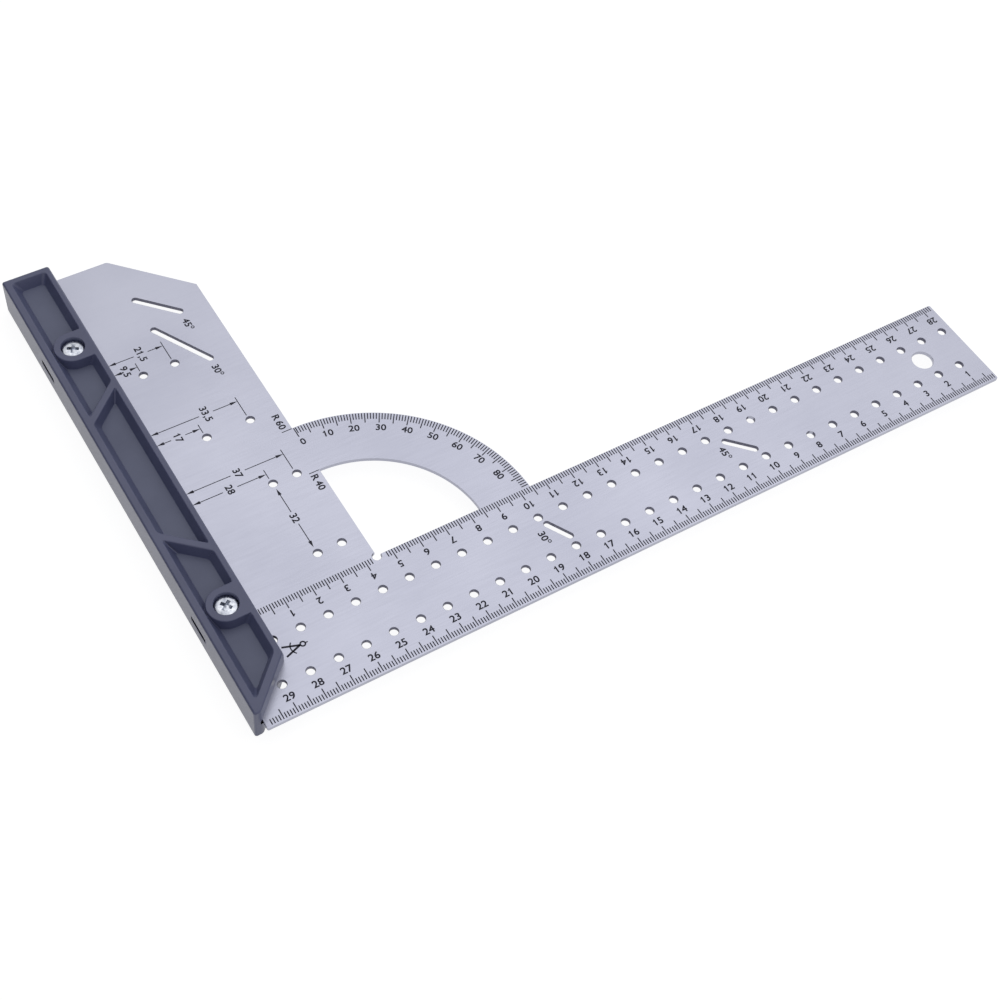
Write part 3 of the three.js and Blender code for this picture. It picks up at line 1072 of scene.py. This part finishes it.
choose(bow, "EDGE", lambda edge: near(middle(edge).y, SIGN_Y - BOW_CARD, MERGE_GAP))
bpy.ops.mesh.delete(type="EDGE")
choose_all()
bpy.ops.transform.rotate(value=BOW_SWEEP / 2, orient_axis="Z", center_override=bow_centre)
bpy.ops.mesh.spin(steps=BOW_STEPS, angle=BOW_SWEEP, center=bow_centre, axis=(0, 0, -1))
choose_all()
extrude(z=INK_RISE + INK_SINK)
turn_faces_out()
done()
sign_parts.append(bow)
print(len(angle_parts), "angle figures,", len(sign_parts), "strokes in the sign")

# %% Gather the ink
discard(*type_case.values())
ink_pieces = []
for name, parts in (
    ("inner_scale", inner_parts),
    ("outer_scale", outer_parts),
    ("protractor_scale", arc_parts),
    ("hole_distances", distance_parts),
    ("slot_angles", angle_parts),
    ("dividers_sign", sign_parts),
):
    piece = joined(name, parts)
    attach(piece, "root")
    ink_pieces.append(piece)
    print(count(piece))

# %% [markdown]
# ## Finish: satin stainless steel
# The blade is stainless sheet with a fine satin grain that runs along the ruler. On a metal all
# colour comes from the reflection, so the base colour is the brightness that the sheet shows
# under a white sky. Two noises do the rest: a large soft one clouds the tone as rolled sheet does,
# and one that is stretched along the grain changes the roughness and gives a trace of relief.

# %% Material helpers
MIX_FACTOR, MIX_FIRST, MIX_SECOND, MIX_RESULT = 0, 6, 7, 2
NOISE_LOW, NOISE_HIGH = 0.3, 0.7


def fill(node, values):
    for name, value in values.items():
        node.inputs[name].default_value = value


def material(name, colour, metallic, roughness, specular=0.5):
    made = bpy.data.materials.new(name)
    made.use_nodes = True
    shader = made.node_tree.nodes["Principled BSDF"]
    fill(shader, {"Base Color": (*colour, 1), "Metallic": metallic})
    fill(shader, {"Roughness": roughness, "Specular IOR Level": specular})
    return made, made.node_tree, shader


def paint(thing, *finishes):
    thing.data.materials.clear()
    for finish in finishes:
        thing.data.materials.append(finish)


def add(tree, kind, **settings):
    node = tree.nodes.new(kind)
    for key, value in settings.items():
        setattr(node, key, value)
    return node


def noise(tree, scale, stretch=(1, 1, 1), detail=3):
    place = add(tree, "ShaderNodeTexCoord")
    mapping = add(tree, "ShaderNodeMapping")
    fill(mapping, {"Scale": stretch})
    pattern = add(tree, "ShaderNodeTexNoise")
    fill(pattern, {"Scale": scale, "Detail": detail})
    tree.links.new(place.outputs["Object"], mapping.inputs["Vector"])
    tree.links.new(mapping.outputs["Vector"], pattern.inputs["Vector"])
    return pattern.outputs["Fac"]


def between(tree, factor, low=0, high=1):
    ramp = add(tree, "ShaderNodeMapRange")
    fill(ramp, {"From Min": NOISE_LOW, "From Max": NOISE_HIGH, "To Min": low, "To Max": high})
    tree.links.new(factor, ramp.inputs["Value"])
    return ramp.outputs["Result"]


def tint(tree, shader, factor, first, second):
    mix = add(tree, "ShaderNodeMix", data_type="RGBA")
    fill(mix, {MIX_FIRST: (*first, 1), MIX_SECOND: (*second, 1)})
    tree.links.new(factor, mix.inputs[MIX_FACTOR])
    tree.links.new(mix.outputs[MIX_RESULT], shader.inputs["Base Color"])


def roughen(tree, shader, factor, smoothest, roughest):
    tree.links.new(between(tree, factor, smoothest, roughest), shader.inputs["Roughness"])


def relief(tree, shader, height, strength, distance):
    bump = add(tree, "ShaderNodeBump")
    fill(bump, {"Strength": strength, "Distance": distance})
    tree.links.new(height, bump.inputs["Height"])
    tree.links.new(bump.outputs["Normal"], shader.inputs["Normal"])

# %% Steel
STEEL = (0.40, 0.407, 0.485)
STEEL_LIGHT = (0.42, 0.428, 0.507)
STEEL_DARK = (0.373, 0.381, 0.458)

steel, tree, shader = material("satin_steel", STEEL, metallic=1, roughness=0.34)
clouds = between(tree, noise(tree, scale=22, detail=4))
tint(tree, shader, clouds, STEEL_DARK, STEEL_LIGHT)
grain = noise(tree, scale=1, stretch=(90, 2600, 400), detail=5)
roughen(tree, shader, grain, smoothest=0.30, roughest=0.40)
relief(tree, shader, grain, strength=0.12, distance=0.00002)

# %% [markdown]
# ## Finish: punched walls with painted shade
# A punch shears the upper part of a hole's wall and tears the rest, so the walls are rough. Their
# nearly black colour beside the bright face is painted shade, for the shaded table under the sheet
# that they mirror. They get a material of their own, given to the faces that stand upright inside
# the holes. The outline of the sheet and the large hole to hang it by are ground and stay bright.

# %% Punched walls with painted shade
# Painted shade: the near black of the hole walls stands in for the shade that they mirror.
PAINTED_HOLE_SHADE = (0.09, 0.09, 0.13)
PAINTED_HOLE_SHADE_PALE = (0.20, 0.20, 0.26)
OUTLINE_REACH = 0.6
hole_shade, tree, shader = material("painted_hole_shade", PAINTED_HOLE_SHADE, metallic=0.8, roughness=0.5)
bands = between(tree, noise(tree, scale=1, stretch=(2500, 2500, 900)))
tint(tree, shader, bands, PAINTED_HOLE_SHADE, PAINTED_HOLE_SHADE_PALE)
relief(tree, shader, bands, strength=0.3, distance=0.00003)
paint(blade, steel, hole_shade)


def on_outline(point):
    x, y = point.x, point.y
    edges = [y - blade_foot, x - blade_end, x - blade_heel, y - blade_top]
    edges.append((x + y - LEG_REACH - blade_top + CORNER_CUT) / math.sqrt(2))
    edges.append(math.hypot(x - blade_end + HANGING_INSET, y + RULER_WIDTH / 2) - HANGING_RADIUS)
    if y > 0:
        radius = math.hypot(x - LEG_REACH, y)
        edges += [x - LEG_REACH, radius - ARC_OUTER, radius - ARC_INNER]
    if x > LEG_REACH + OUTLINE_REACH:
        edges.append(y)
    return min(abs(distance) for distance in edges) < OUTLINE_REACH


# Upright faces inside the holes, but not the ground outline, get the painted shade.
for face in blade.data.polygons:
    is_wall = abs(face.normal.z) < FACING
    face.material_index = int(is_wall and not on_outline(on_board(face.center)))
print(sum(face.material_index for face in blade.data.polygons), "faces of punched wall")

# %% [markdown]
# ## Finish: slate plastic
# The stop is moulded in a slate blue plastic with a fine spark-eroded texture. Its gloss adds a few
# per cent of the white sky, and far more at a flat angle, which makes the long side look grey. A
# fine noise makes the grain by relief, a broad one varies the tone a little, and the floors of the
# pockets are a shade lighter and rougher. The seat of the blade and the inside of the two side
# windows, where no light gets in, are painted nearly black as shade.

# %% Plastic
PLASTIC = (0.082, 0.091, 0.175)
PLASTIC_LIGHT = (0.102, 0.113, 0.21)
POCKET = (0.115, 0.128, 0.205)
POCKET_LIGHT = (0.14, 0.155, 0.24)
# Painted shade: the seat and the insides of the side windows are coloured nearly black for the
# shade in them.
SEAT_SHADE = (0.004, 0.004, 0.007)
SEAT_SHADE_PALE = (0.007, 0.007, 0.012)
SKIN = 0.05
PLASTIC_IOR = 1.5


def moulded(name, dark, light, smoothest, roughest, specular=0.5):
    made, tree, shader = material(name, dark, 0, roughest, specular)
    fill(shader, {"IOR": PLASTIC_IOR})
    tint(tree, shader, between(tree, noise(tree, scale=60, detail=5)), dark, light)
    erosion = noise(tree, scale=2600)
    roughen(tree, shader, erosion, smoothest, roughest)
    relief(tree, shader, erosion, strength=0.3, distance=0.00006)
    return made


plastic = moulded("slate_plastic", PLASTIC, PLASTIC_LIGHT, smoothest=0.28, roughest=0.40)
# The pocket floors are given a lighter and rougher plastic.
pocket_floor = moulded("lighter_pocket_floor", POCKET, POCKET_LIGHT, smoothest=0.48, roughest=0.60)
seat_shade = moulded("painted_seat_shade", SEAT_SHADE, SEAT_SHADE_PALE, smoothest=0.6, roughest=0.75, specular=0)


def in_the_seat(place):
    inside = -STOP_WIDTH + SKIN < place.x < -SKIN and place.y < STOP_TOP - SKIN
    return inside and -thickness - WINDOW_DEEPER - SKIN < place.z < -SKIN


# Slot 1 is the lighter pocket floor, slot 2 the painted shade in the seat and the side windows.
for half, floor_z in ((upper, STOP_RISE - TROUGH_DEPTH), (lower, TROUGH_DEPTH - lower_height)):
    paint(half, plastic, pocket_floor, seat_shade)
    for face in half.data.polygons:
        place = on_board(face.center)
        face.material_index = int(near(place.z, floor_z)) + 2 * int(in_the_seat(place))

# %% [markdown]
# ## Finish: zinc and ink
# Zinc plating is bright and a little milky, with fine scratches from the driver. The ink is nearly
# black and matt, and it is worn a little thin in places.

# %% Zinc and ink
ZINC = (0.66, 0.68, 0.73)
ZINC_DARK = (0.30, 0.32, 0.38)
zinc, tree, shader = material("zinc_plate", ZINC, metallic=1, roughness=0.25)
tint(tree, shader, between(tree, noise(tree, scale=900, detail=4)), ZINC_DARK, ZINC)
scratches = noise(tree, scale=1, stretch=(6000, 900, 2000))
roughen(tree, shader, scratches, smoothest=0.16, roughest=0.30)
for name in ("heel_screw", "top_screw"):
    paint(bpy.data.objects[name], zinc)

INK = (0.012, 0.012, 0.022)
INK_WORN = (0.026, 0.026, 0.042)
ink, tree, shader = material("scale_ink", INK, metallic=0, roughness=0.55, specular=0.2)
tint(tree, shader, between(tree, noise(tree, scale=700, detail=4)), INK, INK_WORN)
for piece in ink_pieces:
    paint(piece, ink)

# %% [markdown]
# ## Floor and sky
# The tool lies on a white table under a white sky. The camera sees the floor white with a faint
# shadow of the tool on it, and metal mirrors the same white. For the floor's own look, most of what
# the camera and the mirrors see is a constant white, so the shadow stays but is pale.

# %% Floor and sky
FLOOR_HALF = 3
FLOOR_WHITE = (0.93, 0.93, 0.94)
FLOOR_GLOW = 1.25
FLOOR_GLOW_SHARE = 0.72
SKY_LEVEL = 0.45


def seen_rays(tree, rays):
    total = rays.outputs["Is Camera Ray"]
    for kind in ("Is Glossy Ray", "Is Transmission Ray"):
        step = add(tree, "ShaderNodeMath", operation="MAXIMUM")
        tree.links.new(total, step.inputs[0])
        tree.links.new(rays.outputs[kind], step.inputs[1])
        total = step.outputs[0]
    return total


bpy.ops.mesh.primitive_plane_add(size=2 * FLOOR_HALF, location=(0, 0, frame_box[0][2]))
floor = newest("table_top")
paper, tree, shader = material("white_table", FLOOR_WHITE, metallic=0, roughness=0.9, specular=0)
rays = add(tree, "ShaderNodeLightPath")
glow = add(tree, "ShaderNodeEmission")
mix = add(tree, "ShaderNodeMixShader")
share = add(tree, "ShaderNodeMath", operation="MULTIPLY")
fill(share, {1: FLOOR_GLOW_SHARE})
tree.links.new(seen_rays(tree, rays), share.inputs[0])
tree.links.new(share.outputs[0], mix.inputs[0])
tree.links.new(shader.outputs["BSDF"], mix.inputs[1])
tree.links.new(glow.outputs[0], mix.inputs[2])
tree.links.new(mix.outputs[0], tree.nodes["Material Output"].inputs["Surface"])
fill(glow, {"Strength": FLOOR_GLOW})
paint(floor, paper)

scene = bpy.context.scene
world = bpy.data.worlds.new("studio_sky")
scene.world = world
world.use_nodes = True
tree = world.node_tree
sky = tree.nodes["Background"]
fill(sky, {"Color": (1, 1, 1, 1)})
rays = add(tree, "ShaderNodeLightPath")
strength = add(tree, "ShaderNodeMapRange")
fill(strength, {"To Min": SKY_LEVEL, "To Max": 1})
tree.links.new(seen_rays(tree, rays), strength.inputs["Value"])
tree.links.new(strength.outputs["Result"], sky.inputs["Strength"])

# %% [markdown]
# ## Light
# One large softbox hangs behind the tool, to the right, and the sky fills in from the other sides.
# The steel mirrors the softbox near the stop and its dimmer edge towards the far end. A black flag
# stands low at the left. No camera sees it, but the round edges of the stop mirror it as a dark
# line, which is the usual way to give dark plastic its outline.

# %% Lamp and flag
LAMP_PLACE = Vector((0.5, 0.38, 1.2))
LAMP_AIM = Vector((0.5, 0.38, 0))
LAMP_SIZE = 1.4
LAMP_POWER = 3.4
FLAG_PLACE = (-0.95, 0.6, 0.4)
FLAG_SIZE = (1.8, 0.8, 1)
FLAG_TURN = math.radians(55)
FLAG_BLACK = (0.02, 0.02, 0.02)

softbox = bpy.data.lights.new("overhead_softbox", "AREA")
softbox.shape = "SQUARE"
softbox.size = LAMP_SIZE
softbox.energy = LAMP_POWER
lamp = bpy.data.objects.new("overhead_softbox", softbox)
scene.collection.objects.link(lamp)
lamp.location = LAMP_PLACE
lamp.rotation_euler = (LAMP_AIM - LAMP_PLACE).to_track_quat("-Z", "Y").to_euler()

bpy.ops.mesh.primitive_plane_add(size=1, location=FLAG_PLACE)
flag = newest("black_flag")
flag.scale = FLAG_SIZE
flag.rotation_euler = (math.radians(90), 0, FLAG_TURN)
flag.visible_camera = False
cloth, tree, shader = material("black_cloth", FLAG_BLACK, metallic=0, roughness=1, specular=0)
paint(flag, cloth)
scene.view_settings.view_transform = "Standard"

# %% [markdown]
# ## Camera
# The photograph looks down on the tool from the fence's side. The scales give its position: the
# camera looks at the ruler's inner edge, 92.3 mm from the fence, from 583 mm away, 54 degrees above
# the blade, and it is rolled by 8 degrees.

# %% Camera
CAMERA_AIM = at(92.34, -0.16)
CAMERA_DISTANCE = 582.81
CAMERA_AZIMUTH = math.radians(37.879)
CAMERA_ELEVATION = math.radians(54.251)
CAMERA_ROLL = math.radians(7.935)
CAMERA_LENS = 61.736
SENSOR_WIDTH = 36
CLIP_START = 0.01

look = Vector((
    math.sin(CAMERA_AZIMUTH) * math.cos(CAMERA_ELEVATION),
    math.cos(CAMERA_AZIMUTH) * math.cos(CAMERA_ELEVATION),
    -math.sin(CAMERA_ELEVATION),
))
camera_data = bpy.data.cameras.new("photo_camera")
camera_data.lens = CAMERA_LENS
camera_data.sensor_width = SENSOR_WIDTH
camera_data.clip_start = CLIP_START
camera = bpy.data.objects.new("photo_camera", camera_data)
scene.collection.objects.link(camera)
turned = look.to_track_quat("-Z", "Y").to_matrix().to_4x4() @ Matrix.Rotation(CAMERA_ROLL, 4, "Z")
camera.matrix_world = Matrix.Translation(CAMERA_AIM - look * CAMERA_DISTANCE * MM) @ turned
scene.camera = camera
print("camera at", [round(value, 4) for value in camera.location])
